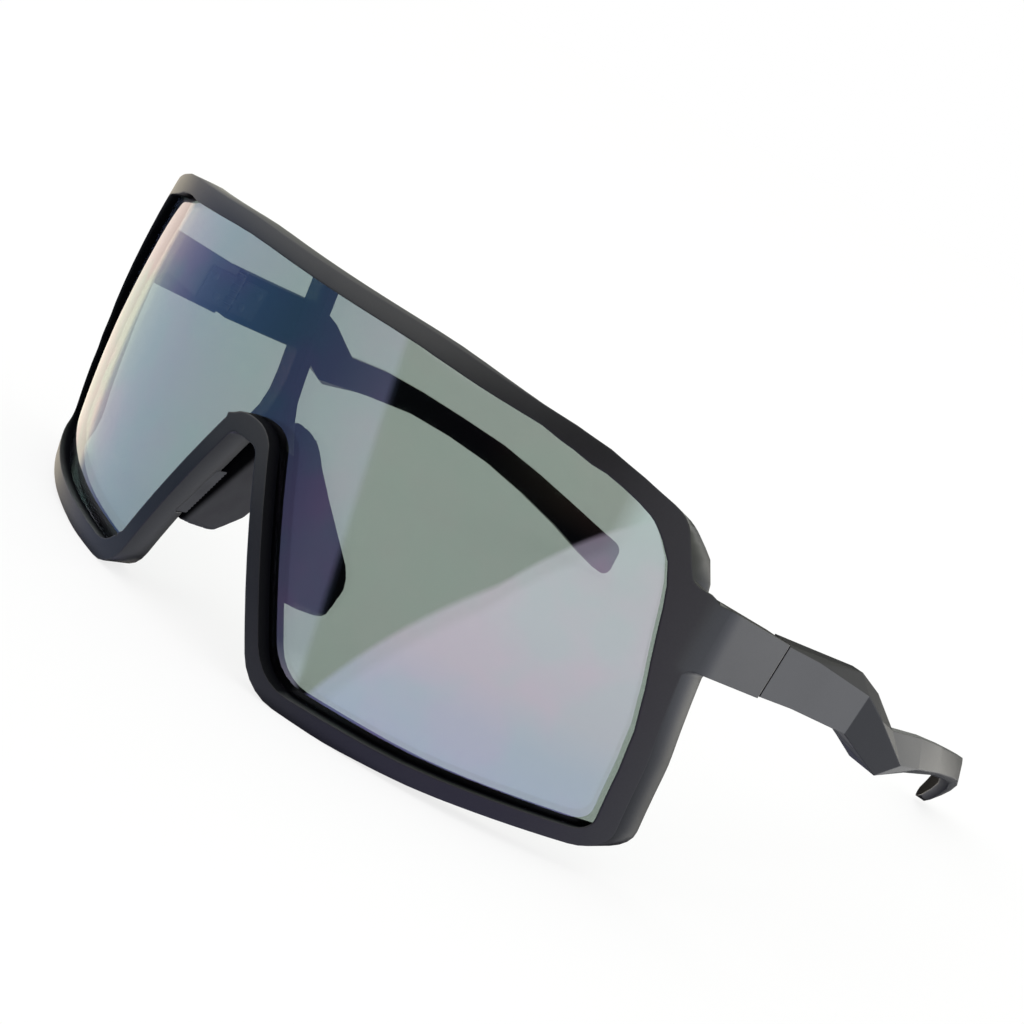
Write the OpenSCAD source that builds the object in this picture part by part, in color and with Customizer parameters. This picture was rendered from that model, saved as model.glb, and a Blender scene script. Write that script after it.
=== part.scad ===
/* [Front] */
// Width of the front across both side walls
front_w = 138.6; // [130:0.2:138.8]
// Height of the front, from its lowest edge to the top bar
front_h = 60.6; // [50:0.2:70]
// Depth of the front's walls along the view through the lens
frame_depth = 5.4; // [4.8:0.1:7]
// Radius of the middle of the front, seen from above, as a share of the half width
front_r_share = 1.53; // [1.44:0.01:1.74]
// Radius of the wrapped sides, seen from above, as a share of the half width
side_r_share = 0.941; // [0.9:0.001:1.08]
// Half angle of the middle arc, where the sides take over
seam_angle = 25; // [22:1:28]
// Radius of the front's upright bulge
upright_r = 215; // [180:5:260]
// Height at which the front bulges most
bulge_height = 27.2; // [20:0.2:35]
// Width of the rim along the top bar
top_rim = 2.2; // [2:0.1:3]
// Width of the rim down the outer sides
side_rim = 2.2; // [2:0.1:3]
// Width of the rim along the bottom
bottom_rim = 2.6; // [2.2:0.1:3.4]
// Height of the rim over the nose arch
arch_rim = 3.5; // [2.8:0.1:4.2]
// Rim width beside the nose, measured level
nose_rim = 2.95; // [2.5:0.05:3.5]
// Width of the strut behind the lens
strut_w = 4.6; // [4:0.2:7]
// Radius at the strut's upper corners
strut_corner = 1.2; // [1:0.2:3]

/* [Nose arch] */
// Height of the nose arch
arch_h = 32.3; // [28:0.1:35]
// Half width of the nose arch at its top
arch_half_w = 2.9; // [2.4:0.1:4]
// Half width of the nose arch at its foot
arch_foot = 18.3; // [16:0.1:21]

/* [Lens] */
// Thickness of the lens
lens_t = 1.3; // [1:0.1:1.5]
// Depth of the front lip before the lens
lens_setback = 2.3; // [2:0.1:2.6]
// How far the lens reaches into its groove
lens_seat = 1.15; // [0.8:0.05:1.3]
// Play around the lens in its groove
lens_play = 0.05; // [0.03:0.01:0.1]
// How far the rear lip reaches inside the front lip
rear_lip = 0.6; // [0.4:0.1:1]
// How far the rear lip stands back from the front lip beside the nose
nose_undercut = 0.1; // [0:0.1:0.5]

/* [End pieces] */
// How far the end pieces stand out past the widest place of the side rims
end_step = 0.1; // [0.1:0.1:1.7]
// Thickness of the end piece
end_t = 4; // [3.6:0.1:4.6]
// Height of the end piece and the temple at their joint
joint_h = 9.2; // [8.6:0.1:10]
// Height of the end piece where it leaves the rim
end_root_h = 10.4; // [9.6:0.1:11]
// Height of the hinge over the table
hinge_height = 36.2; // [34:0.1:38]
// Distance of the hinge behind the front's apex
hinge_back = 49.85; // [47:0.05:53]
// Lean of the hinge axis and droop of the temples
hinge_lean = 8; // [6:0.5:10]
// Gap between end piece and temple
joint_gap = 0.3; // [0.2:0.05:0.5]

/* [Hinges] */
// How far the axis lies inside the inner face
axis_inset = 0.6; // [0.4:0.05:0.8]
// Outer radius of the knuckles
knuckle_r = 1.3; // [1.2:0.05:1.4]
// Height of one knuckle
knuckle_h = 1.2; // [1:0.05:1.3]
// Gap between knuckles
knuckle_gap = 0.1; // [0.05:0.01:0.15]
// Radius of the hinge screw's shank
screw_r = 0.6; // [0.5:0.05:0.7]
// Running clearance of the screw in its bores
screw_fit = 0.05; // [0.03:0.01:0.08]
// Thickness of a leaf
leaf_t = 0.9; // [0.8:0.05:1]
// Length of a leaf behind its knuckles
leaf_len = 6.4; // [6:0.1:7]
// Radius of a rivet's shank
rivet_r = 0.5; // [0.4:0.05:0.6]

/* [Temples] */
// Length of a temple behind the hinge, along its droop
temple_len = 124.2; // [115:0.2:140]
// Thickness of the temple's rear arm
arm_t = 3; // [2.6:0.1:3.4]
// Radius of the rear arm's inward curve
arm_r = 127; // [120:1:150]
// Distance behind the hinge at which the inward curve starts
arm_start = 45; // [42:1:50]

/* [Nose pads] */
// Length of a pad along the side of the nose
pad_len = 28.7; // [26:0.1:30]
// Reach of a pad towards the face
pad_reach = 14.5; // [13:0.1:16]
// Thickness of a pad
pad_t = 2.8; // [2.6:0.1:3.4]
// Length of the carrier's bar
bar_len = 10.4; // [9:0.1:12]
// Thickness of the carrier's web inside the pad
web_t = 1.2; // [1:0.05:1.3]
// Thickness of the carrier's bar
bar_t = 1.6; // [1.4:0.1:1.7]
// Reach of the carrier's bar from its seat towards the face
bar_reach = 3; // [2.6:0.1:3.4]
// Depth of the carrier's seat in the rim's rear edge
bar_seat = 0.4; // [0.3:0.1:0.8]
// Set-back of the pad and its bar from the nose wall
pad_gap = 0.1; // [0.1:0.05:0.4]
// Distance of the pad's front edge behind the rim
pad_back = 0.4; // [0.3:0.1:0.8]
// Distance of the pad's foot along the nose wall
pad_foot = 12; // [11:0.1:13]
// Distance of the bar's foot along the nose wall
bar_foot = 15.9; // [15:0.1:17]

/* [Hidden] */
$fn = 144;

// Overrun of every cut past the face that it opens
over = 1;
half_w = front_w / 2;
side_x = half_w + end_step;
hinge_x = side_x - end_t + axis_inset;
// Radii of the front, rounded to this share of a millimetre, so that the arcs meet in one plane
rounding_share = 0.001;
front_r = rounding_share * round(front_r_share * half_w / rounding_share);
side_r = rounding_share * round(side_r_share * half_w / rounding_share);

// Outer outline, right half: across and up as shares of half width and height, corner radius of height
outer_shares = [
    [0.317, 1, 1.95], [0.72, 0.965, 0.65], [0.882, 0.899, 0.082], [0.935, 0.7665, 0.033],
    [1.029, 0.7335, 0], [1.029, 0.574, 0], [0.984, 0.574, 0.02], [1, 0.323, 0.65],
    [0.9975, 0.074, 0.074], [0.662, 0.0165, 1.95], [0.475, 0, 1],
];
// Lens opening, right half: shares of its own half width and height, corner radius of height
opening_shares = [
    [0.30, 1, 2.1], [0.684, 0.955, 1.07], [0.888, 0.887, 0.072], [0.937, 0.753, 0.54],
    [1, 0.376, 1.07], [0.997, 0.075, 0.047], [0.654, 0.018, 2.1],
];
foot_round_share = 0.46;
arch_round_share = 0.69;
open_foot_round_share = 0.41;
open_arch_round_share = 1.9;
strut_blend_share = 3;

open_half_w = half_w - side_rim;
open_h = front_h - top_rim - bottom_rim;
// Level run of the arch's side for each unit of height
arch_slope = (arch_foot - arch_half_w) / arch_h;
arch_angle = atan(arch_slope);
outer_half = concat(
    [for (s = outer_shares) [s[0] * half_w, s[1] * front_h, s[2] * front_h]],
    [[arch_foot, 0, foot_round_share * arch_foot], [arch_half_w, arch_h, arch_round_share * arch_half_w]]
);
open_rise = arch_h + arch_rim;
open_top_x = arch_half_w + nose_rim - arch_rim * arch_slope;
open_foot_x = open_top_x + (open_rise - bottom_rim) * arch_slope;
open_side = [for (s = opening_shares) [s[0] * open_half_w, bottom_rim + s[1] * open_h, s[2] * open_h]];
open_foot = [open_foot_x, bottom_rim, open_foot_round_share * arch_foot];
open_half = concat(open_side, [open_foot], [[open_top_x, open_rise, open_arch_round_share * arch_half_w]]);
// Right opening of the rear lip, closed along the strut
strut_x = strut_w / 2 - rear_lip;
nose_relief = rear_lip / cos(arch_angle) + nose_undercut;
strut_foot = open_rise + (open_top_x - nose_relief - strut_x) / arch_slope;
rear_foot = [open_foot_x - nose_relief, bottom_rim, open_foot[2]];
rear_half = concat(
    [[strut_x, bottom_rim + open_h, strut_corner + rear_lip]], open_side, [rear_foot],
    [[strut_x, strut_foot, strut_blend_share * strut_w]]
);

// Edge lines of the temple, station by station: top, ridge, outer foot and inner foot, each as run and rise.
// Runs are shares of the temple's length and rises shares of the joint's height.
temple_edge_shares = [
    [[0, 0.5], [0, 0.47], [0, -0.47], [0, -0.5]],
    [[0.08, 0.506], [0.08, 0.42], [0.08, -0.475], [0.08, -0.5]],
    [[0.2, 0.53], [0.2296, 0.217], [0.2256, -0.555], [0.2104, -0.49]],
    [[0.256, 0.31], [0.285, -0.09], [0.272, -0.77], [0.247, -0.68]],
    [[0.336, -0.196], [0.3848, -0.707], [0.3328, -1.035], [0.2912, -0.924]],
    [[0.432, -0.152], [0.448, -0.675], [0.424, -0.84], [0.416, -0.815]],
    [[0.528, -0.207], [0.534, -0.652], [0.526, -0.765], [0.52, -0.755]],
    [[0.624, -0.304], [0.626, -0.717], [0.622, -0.84], [0.618, -0.83]],
    [[0.72, -0.424], [0.72, -0.84], [0.716, -0.99], [0.713, -0.985]],
    [[0.808, -0.641], [0.806, -1.07], [0.8, -1.24], [0.798, -1.235]],
    [[0.888, -0.891], [0.886, -1.35], [0.878, -1.545], [0.876, -1.54]],
    [[0.952, -1.11], [0.95, -1.62], [0.94, -1.86], [0.938, -1.86]],
    [[1, -1.26], [0.9985, -1.78], [0.992, -2.075], [0.99, -2.075]],
];
// At each station: how far the ridge stands out, thickness, top bevel and foot bevel, as shares of the joint's height
temple_section_shares = [
    [0, 1, 0.02, 0], [0.03, 0.95, 0.06, 0], [0.13, 0.86, 0.14, 0],
    [0.23, 0.82, 0.16, 0], [0.35, 1.08, 0.19, 0.02],
    [0.35, 1, 0.19, 0.1], [0.35, 1, 0.19, 0.1], [0.35, 1, 0.18, 0.1], [0.35, 1, 0.17, 0.1],
    [0.35, 1, 0.16, 0.1], [0.35, 1, 0.15, 0.1], [0.35, 1.02, 0.14, 0.1], [0.35, 1, 0.12, 0.1],
];

// Middle of the whole object, from the front's apex to the temples' tips
tip_share = temple_edge_shares[len(temple_edge_shares) - 1][0];
mid_y = (hinge_back + tip_share[0] * temple_len * cos(hinge_lean) + tip_share[1] * joint_h * sin(hinge_lean)) / 2;

// Angle that the wrapped sides cover, and angle that the middle arc runs past the middle before the cut
side_sweep = 50;
seam_lap = 2;
// Centre of the right side arc, and the depth at which it reaches the outer side face
seam_x = sin(seam_angle) * (front_r - side_r);
seam_y = front_r - cos(seam_angle) * (front_r - side_r);
root_y = seam_y - side_r * cos(asin((side_x - seam_x) / side_r));
// End piece: top and foot at the rim, and half the joint's slanted butt as rise and run
end_foot_z = outer_shares[5][1] * front_h;
end_top_z = end_foot_z + end_root_h;
butt_y = hinge_back - joint_gap / 2;
butt_rise = joint_h / 2 * cos(hinge_lean);
butt_run = joint_h / 2 * sin(hinge_lean);
// Depth and height of the curved blocks that form the front
block_t = 4 * end_t;
wall_z = front_h + over;

// Overlap that joins the pad's layers
pad_lap = 0.05;
// Room around the carrier's bar inside the pad
bar_room = 0.3;
// Depth behind the apex at which the pad and the carrier's bar begin
pad_front = frame_depth + pad_back;
bar_front = frame_depth - bar_seat;

// Hinge: height of the barrel, channel around it, play of a leaf in its seat, and places of the rivets
barrel_h = 5 * knuckle_h + 4 * knuckle_gap;
channel_r = knuckle_r + 1.5 * knuckle_gap;
leaf_play = knuckle_gap / 2;
leaf_end = knuckle_r + leaf_len;
rivet_len = 3 * rivet_r;
rivet_places = [[knuckle_r + leaf_len / 3, -barrel_h / 4], [knuckle_r + leaf_len * 3 / 4, barrel_h / 4]];

// Pad outlines: reach towards the face as shares of the pad's reach, height as shares of its length
pad_shares = [
    [0, 1], [0.04, 1], [0.2, 0.958], [0.324, 0.913], [0.386, 0.864], [0.462, 0.763], [0.617, 0.61], [0.834, 0.408],
    [0.972, 0.282], [1, 0.213], [0.98, 0.146], [0.824, 0.049], [0.731, 0], [0.624, 0], [0.345, 0.024],
    [0.159, 0.049], [0, 0.09],
];
// The pad's face towards the nose starts further back
pad_face_shares = concat([[0.34, 0.88]], [for (i = [4 : 13]) pad_shares[i]], [[0.42, 0.018], [0.36, 0.575]]);

// Turns an angle into the range of half a turn either way
function turned(a) = a > 180 ? a - 360 : a < -180 ? a + 360 : a;
function unit(v) = v / norm(v);
function flat(p) = [p[0], p[1]];

// Points of the rounded corner q between its neighbours p and s, where q[2] is the radius
function corner(p, q, s) =
    let (a = unit(flat(p) - flat(q)), b = unit(flat(s) - flat(q)), r = q[2])
    r == 0 || a * b < -0.99999 ? [flat(q)] :
    let (
        half = acos(a * b) / 2,
        centre = flat(q) + unit(a + b) * r / sin(half),
        from = flat(q) + a * r / tan(half) - centre,
        to = flat(q) + b * r / tan(half) - centre,
        start = atan2(from[1], from[0]),
        sweep = turned(atan2(to[1], to[0]) - start),
        steps = max(2, ceil(abs(sweep) / 14))
    )
    [for (i = [0 : steps]) centre + r * [cos(start + sweep * i / steps), sin(start + sweep * i / steps)]];

function rounded(pts) =
    let (n = len(pts)) [for (i = [0 : n - 1]) each corner(pts[(i + n - 1) % n], pts[i], pts[(i + 1) % n])];

// Moves each corner of a clockwise outline out by d, its radius with it
function grown_corner(p, q, s, d) =
    let (
        e = unit(flat(q) - flat(p)), f = unit(flat(s) - flat(q)),
        n = [-e[1], e[0]], m = [-f[1], f[0]],
        moved = flat(q) + d * (n + m) / (1 + n * m),
        swing = e[0] * f[1] - e[1] * f[0]
    )
    [moved[0], moved[1], q[2] == 0 ? 0 : max(q[2] + (swing < 0 ? d : -d), q[2] / 4)];

function grown(pts, d) =
    let (n = len(pts)) [for (i = [0 : n - 1]) grown_corner(pts[(i + n - 1) % n], pts[i], pts[(i + 1) % n], d)];

// Adds the mirrored left half to a right half
function both(half) = concat(half, [for (i = [len(half) - 1 : -1 : 0]) [-half[i][0], half[i][1], half[i][2]]]);

// Both sides of the object, from the right one
module side(hand) {
    translate([0, -mid_y, 0]) mirror([hand == "left" ? 1 : 0, 0, 0]) children();
}

// Hinge frame: axis up, temple running back
module at_hinge() {
    translate([hinge_x, hinge_back, hinge_height]) rotate([-hinge_lean, 0, 0]) children();
}

// Nose frame: up along the right side of the arch, outwards into the rim
module at_nose() {
    translate([arch_foot, 0, 0]) rotate([0, -arch_angle, 0]) children();
}

// An upright outline carried back along Y
module slab(from, to) {
    translate([0, to, 0]) rotate([90, 0, 0]) linear_extrude(height = to - from) children();
}

// Cross-section of the front's bulge: a full block, or a shell where thick is more than zero
module bulge_profile(r, inset, thick) {
    intersection() {
        translate([r - upright_r, bulge_height]) difference() {
            circle(r = upright_r - inset);
            if (thick > 0) circle(r = upright_r - inset - thick);
        }
        translate([r - block_t, -over]) square([block_t, wall_z + over]);
    }
}

// Right half of the front's curve: two tangent arcs that meet in one plane, cut off at the middle
module front_half(setback, inset, thick) {
    intersection() {
        translate([0, front_r + setback, 0]) rotate([0, 0, -90 + seam_angle]) {
            rotate_extrude(start = -seam_angle - seam_lap, angle = seam_angle + seam_lap)
                bulge_profile(front_r, inset, thick);
            translate([front_r - side_r, 0, 0]) rotate_extrude(angle = side_sweep)
                bulge_profile(side_r, inset, thick);
        }
        translate([0, -over, -2 * over]) cube([half_w + 2 * end_t, 2 * hinge_back, wall_z + 3 * over]);
    }
}

// The front's whole curve, moved back by setback
module front_block(setback, inset = 0, thick = 0) {
    for (m = [0, 1]) {
        mirror([m, 0, 0]) front_half(setback, inset, thick);
    }
}

// Rim with its end piece stubs, before the lens opening is cut
module rim_blank() {
    intersection() {
        slab(-over, hinge_back) polygon(rounded(both(outer_half)));
        difference() {
            front_block(0);
            front_block(frame_depth);
        }
        translate([-side_x, -over, 0]) cube([2 * side_x, hinge_back, front_h + over]);
    }
}

// End piece from the rim back to the joint
module end_piece() {
    intersection() {
        front_block(0);
        translate([side_x - end_t, 0, 0]) rotate([90, 0, 90]) linear_extrude(height = end_t) polygon([
            [root_y - end_t, end_top_z], [root_y, end_top_z],
            [butt_y + butt_run, hinge_height + butt_rise], [butt_y - butt_run, hinge_height - butt_rise],
            [root_y, end_foot_z], [root_y - end_t, end_foot_z],
        ]);
    }
}

// Takes the rim's corner down to the sloping top of the end piece
module end_trim() {
    translate([side_x - end_t, 0, 0]) rotate([90, 0, 90]) linear_extrude(height = end_t + over) polygon([
        [root_y, end_top_z], [butt_y + butt_run, hinge_height + butt_rise],
        [butt_y + butt_run, front_h], [root_y, front_h],
    ]);
}

// Lens groove and everything before it
module lens_cuts() {
    difference() {
        slab(-over, hinge_back) polygon(rounded(both(open_half)));
        front_block(lens_setback + lens_play, lens_t + lens_play);
    }
    intersection() {
        slab(-over, hinge_back) polygon(rounded(grown(both(open_half), lens_seat + lens_play)));
        difference() {
            front_block(lens_setback - lens_play);
            front_block(lens_setback + lens_play, lens_t + lens_play);
        }
    }
}

// Channel and pocket for the hinge, on the fixed side or the temple's
module hinge_seat(way) {
    translate([0, 0, -joint_h]) cylinder(r = channel_r, h = 2 * joint_h);
    translate([-axis_inset - over, way > 0 ? 0 : -leaf_end - leaf_play, -barrel_h / 2 - leaf_play])
        cube([over + axis_inset + leaf_play, leaf_end + leaf_play, barrel_h + 2 * leaf_play]);
    for (place = rivet_places) {
        translate([-axis_inset, way * place[0], place[1]]) rotate([0, 90, 0])
            cylinder(r = rivet_r + leaf_play / 2, h = rivet_len + leaf_play);
    }
}

// One leaf with its knuckles, in the hinge frame
module hinge_leaf(way, first) {
    color([0.17, 0.17, 0.18]) difference() {
        union() {
            translate([-leaf_t, way > 0 ? channel_r : -leaf_end, -barrel_h / 2])
                cube([leaf_t, leaf_end - channel_r, barrel_h]);
            for (i = [first : 2 : 4]) {
                translate([0, 0, i * (knuckle_h + knuckle_gap) - barrel_h / 2]) {
                    cylinder(r = knuckle_r, h = knuckle_h);
                    translate([-leaf_t, way > 0 ? 0 : -channel_r - over, 0])
                        cube([leaf_t, channel_r + over, knuckle_h]);
                }
            }
        }
        translate([0, 0, -barrel_h]) cylinder(r = screw_r + screw_fit, h = 2 * barrel_h);
        for (place = rivet_places) {
            translate([-leaf_t - over, way * place[0], place[1]]) rotate([0, 90, 0])
                cylinder(r = rivet_r + leaf_play / 2, h = leaf_t + 2 * over);
        }
    }
}

// Slotted screw that carries the hinge
module hinge_screw() {
    head_r = 2 * screw_r;
    head_h = 1.2 * screw_r;
    color("gainsboro") difference() {
        union() {
            translate([0, 0, -barrel_h / 2 - knuckle_gap]) cylinder(r = screw_r, h = barrel_h + 2 * knuckle_gap);
            translate([0, 0, barrel_h / 2 + knuckle_gap / 2]) cylinder(r = head_r, h = head_h);
        }
        translate([-head_r - over, -screw_r / 4, barrel_h / 2 + head_h / 2])
            cube([2 * (head_r + over), screw_r / 2, head_h + over]);
    }
}

// Two domed rivets through a leaf
module leaf_rivets(way) {
    color("gainsboro") for (place = rivet_places) {
        translate([-leaf_t - rivet_r / 2, way * place[0], place[1]]) rotate([0, 90, 0]) {
            cylinder(r = rivet_r, h = rivet_r / 2 + leaf_t - axis_inset + rivet_len);
            cylinder(r1 = rivet_r * 1.2, r2 = rivet_r * 1.7, h = rivet_r / 2);
        }
    }
}

// Outward place of the arm's ridge at a run behind the hinge
function arm_out(run, flare) =
    let (past = max(run - arm_start, 0)) end_t - axis_inset + flare * joint_h - past * past / (2 * arm_r);

function edge_point(edge, flare, inset) =
    let (run = joint_gap / 2 + edge[0] * (temple_len - joint_gap / 2))
    [arm_out(run, flare) - inset, run, edge[1] * joint_h];

function temple_section(i) =
    let (
        e = temple_edge_shares[i], s = temple_section_shares[i],
        thick = i < 4 ? s[1] * end_t : s[1] * arm_t,
        lean = max(0, e[2][0] - 0.6) * arm_t
    )
    [
        edge_point(e[0], s[0], s[2] * joint_h),
        edge_point(e[1], s[0], 0),
        edge_point(e[2], s[0], s[3] * joint_h + lean),
        edge_point(e[3], s[0], thick + lean),
        edge_point(e[0], s[0], thick),
    ];

// Faceted skin through the stations
module temple_skin() {
    n = len(temple_edge_shares);
    k = 5;
    points = [for (i = [0 : n - 1]) each temple_section(i)];
    walls = [for (i = [0 : n - 2], j = [0 : k - 1])
        let (a = i * k + j, b = i * k + (j + 1) % k, c = b + k, d = a + k) each [[a, d, b], [b, d, c]]];
    front = [[for (j = [0 : k - 1]) j]];
    back = [[for (j = [k - 1 : -1 : 0]) (n - 1) * k + j]];
    polyhedron(points = points, faces = concat(front, walls, back));
}

module temple() {
    color([0.37, 0.39, 0.42]) difference() {
        temple_skin();
        hinge_seat(1);
    }
}

// Outline of the pad in the nose frame, grown or set in
module pad_plate(shares, inset, from, to) {
    translate([from, 0, 0]) rotate([90, 0, 90]) linear_extrude(height = to - from) offset(delta = -inset)
        polygon([for (s = shares) [pad_front + s[0] * pad_reach, pad_foot + s[1] * pad_len]]);
}

// Plate of the carrier that the pad is pushed over
module carrier_web(play) {
    web_x = pad_gap + (pad_t - web_t) / 2;
    translate([web_x - play, bar_front + bar_reach - over, bar_foot - play])
        cube([web_t + 2 * play, over + pad_reach / 2 + play, bar_len + 2 * play]);
}

// Bar that clips into the rim, with its web
module pad_carrier() {
    color([0.2, 0.2, 0.21]) {
        translate([pad_gap, bar_front, bar_foot]) cube([bar_t, bar_reach, bar_len]);
        carrier_web(0);
    }
}

// Soft pad: a face layer towards the nose and two smaller layers behind it
module nose_pad() {
    layer = pad_t / 3;
    color([0.32, 0.31, 0.31]) difference() {
        union() {
            pad_plate(pad_face_shares, 0, pad_gap, pad_gap + layer);
            pad_plate(pad_shares, layer / 2, pad_gap + layer - pad_lap, pad_gap + 2 * layer);
            pad_plate(pad_shares, layer, pad_gap + 2 * layer - pad_lap, pad_gap + pad_t);
        }
        carrier_web(lens_play);
        translate([-over, 0, bar_foot - bar_room])
            cube([over + pad_gap + bar_t + bar_room, bar_front + bar_reach + bar_room, bar_len + 2 * bar_room]);
    }
}

// Slot in the rim's notch wall that takes the carrier's bar
module pad_slot() {
    translate([-over, bar_front - lens_play, bar_foot - lens_play])
        cube([over + pad_gap + bar_t + lens_play, frame_depth, bar_len + 2 * lens_play]);
}

module front_frame() {
    color([0.21, 0.215, 0.22]) translate([0, -mid_y, 0]) difference() {
        union() {
            rim_blank();
            for (m = [0, 1]) mirror([m, 0, 0]) end_piece();
        }
        lens_cuts();
        for (m = [0, 1]) {
            mirror([m, 0, 0]) {
                slab(-over, hinge_back) polygon(rounded(grown(rear_half, -rear_lip)));
                at_nose() pad_slot();
                at_hinge() hinge_seat(-1);
                end_trim();
            }
        }
    }
}

module shield_lens() {
    color([0.53, 0.62, 0.64, 0.6]) translate([0, -mid_y, 0]) intersection() {
        slab(-over, hinge_back) polygon(rounded(grown(both(open_half), lens_seat)));
        front_block(lens_setback, 0, lens_t);
    }
}

front_frame();
shield_lens();
side("right") at_nose() nose_pad();  // nose_pad_right
side("left") at_nose() nose_pad();  // nose_pad_left
side("right") at_nose() pad_carrier();  // pad_carrier_right
side("left") at_nose() pad_carrier();  // pad_carrier_left
side("right") at_hinge() hinge_leaf(-1, 0);  // front_leaf_right
side("left") at_hinge() hinge_leaf(-1, 0);  // front_leaf_left
side("right") at_hinge() hinge_leaf(1, 1);  // temple_leaf_right
side("left") at_hinge() hinge_leaf(1, 1);  // temple_leaf_left
side("right") at_hinge() hinge_screw();  // hinge_screw_right
side("left") at_hinge() hinge_screw();  // hinge_screw_left
side("right") at_hinge() leaf_rivets(-1);  // front_rivets_right
side("left") at_hinge() leaf_rivets(-1);  // front_rivets_left
side("right") at_hinge() leaf_rivets(1);  // temple_rivets_right
side("left") at_hinge() leaf_rivets(1);  // temple_rivets_left
side("right") at_hinge() temple();  // temple_right
side("left") at_hinge() temple();  // temple_left
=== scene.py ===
import math
import bmesh
import bpy
from mathutils import Matrix, Vector
from mathutils.geometry import delaunay_2d_cdt


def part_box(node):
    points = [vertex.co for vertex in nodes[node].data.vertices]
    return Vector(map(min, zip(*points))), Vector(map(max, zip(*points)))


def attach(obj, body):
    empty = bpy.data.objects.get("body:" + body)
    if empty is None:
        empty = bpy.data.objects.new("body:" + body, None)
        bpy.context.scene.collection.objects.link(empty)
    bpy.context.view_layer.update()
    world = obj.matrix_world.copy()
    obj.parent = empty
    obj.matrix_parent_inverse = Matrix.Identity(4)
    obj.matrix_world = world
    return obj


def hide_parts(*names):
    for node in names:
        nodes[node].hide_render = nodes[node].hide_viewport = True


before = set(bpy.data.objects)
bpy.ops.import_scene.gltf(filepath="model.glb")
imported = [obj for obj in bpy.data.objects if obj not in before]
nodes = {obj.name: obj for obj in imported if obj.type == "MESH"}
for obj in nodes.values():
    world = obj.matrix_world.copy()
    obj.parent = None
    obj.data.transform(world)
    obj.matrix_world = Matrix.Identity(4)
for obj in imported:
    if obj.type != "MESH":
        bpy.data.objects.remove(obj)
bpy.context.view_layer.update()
mm = 0.001
print("frame loaded:", len(nodes), "CAD nodes")

# the front's curve and its outlines, in millimetres, as the CAD has them
front = {
    "width": 138.6, "height": 60.6, "depth": 5.4,
    "middleRadius": 106.029, "sideRadius": 65.211, "seamAngle": 25.0,
    "uprightRadius": 215.0, "bulgeHeight": 27.2,
    "topRim": 2.2, "sideRim": 2.2, "bottomRim": 2.6, "archRim": 3.5, "noseRim": 2.95,
    "archHeight": 32.3, "archTop": 2.9, "archFoot": 18.3,
}
archSlope = (front["archFoot"] - front["archTop"]) / front["archHeight"]
archAngle = math.atan(archSlope)
openHalf = front["width"] / 2 - front["sideRim"]
openHeight = front["height"] - front["topRim"] - front["bottomRim"]
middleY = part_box("temple_right")[1][1] / mm


# one point of the front's curve over (x, z), and the way it faces
def frontPoint(x, z, depth=0.0, setback=0.0):
    dz = z - front["bulgeHeight"]
    rise = math.sqrt((front["uprightRadius"] - depth) ** 2 - dz * dz)
    spread = math.radians(front["seamAngle"])
    reach = front["middleRadius"] - front["uprightRadius"] + rise
    centreX, centreY = 0.0, front["middleRadius"]
    if abs(x) > math.sin(spread) * reach:
        step = front["middleRadius"] - front["sideRadius"]
        reach -= step
        centreX = math.copysign(math.sin(spread) * step, x)
        centreY -= math.cos(spread) * step
    across = x - centreX
    y = centreY - math.sqrt(max(reach * reach - across * across, 0.01))
    normal = Vector((across / reach * rise, (y - centreY) / reach * rise, dz)).normalized()
    return Vector((x, y + setback - middleY, z)), normal


# outline work: corners are (x, z, radius)
def roundCorner(before, at, after, step=4.0):
    q = Vector(at[:2])
    a = (Vector(before[:2]) - q).normalized()
    b = (Vector(after[:2]) - q).normalized()
    radius = at[2]
    if radius == 0 or a.dot(b) < -0.99999:
        return [q]
    half = a.angle(b) / 2
    centre = q + (a + b).normalized() * radius / math.sin(half)
    first = q + a * radius / math.tan(half) - centre
    last = q + b * radius / math.tan(half) - centre
    start = math.atan2(first.y, first.x)
    sweep = (math.atan2(last.y, last.x) - start + math.pi) % (2 * math.pi) - math.pi
    count = max(2, math.ceil(abs(math.degrees(sweep)) / step))
    return [centre + radius * Vector((math.cos(start + sweep * i / count), math.sin(start + sweep * i / count)))
            for i in range(count + 1)]


def rounded(corners, step=4.0):
    count = len(corners)
    return [p for i in range(count)
            for p in roundCorner(corners[i - 1], corners[i], corners[(i + 1) % count], step)]


def grownCorners(corners, distance):
    out = []
    count = len(corners)
    for i in range(count):
        p, q, s = (Vector(corners[j % count][:2]) for j in (i - 1, i, i + 1))
        e, f = (q - p).normalized(), (s - q).normalized()
        n, m = Vector((-e.y, e.x)), Vector((-f.y, f.x))
        moved = q + distance * (n + m) / (1 + n.dot(m))
        radius = corners[i][2]
        if radius:
            bend = e.x * f.y - e.y * f.x
            radius = max(radius + (distance if bend < 0 else -distance), radius / 4)
        out.append((moved.x, moved.y, radius))
    return out


def mirrored(corners):
    return corners + [(-x, z, r) for x, z, r in reversed(corners)]


openShares = [(0.30, 1, 2.1), (0.684, 0.955, 1.07), (0.888, 0.887, 0.072), (0.937, 0.753, 0.54),
              (1, 0.376, 1.07), (0.997, 0.075, 0.047), (0.654, 0.018, 2.1)]
openTopX = front["archTop"] + front["noseRim"] - front["archRim"] * archSlope
openRise = front["archHeight"] + front["archRim"]
openFootX = openTopX + (openRise - front["bottomRim"]) * archSlope
openHalfCorners = [(x * openHalf, front["bottomRim"] + z * openHeight, r * openHeight) for x, z, r in openShares]
openHalfCorners += [(openFootX, front["bottomRim"], 0.41 * front["archFoot"]),
                    (openTopX, openRise, 1.9 * front["archTop"])]


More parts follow.
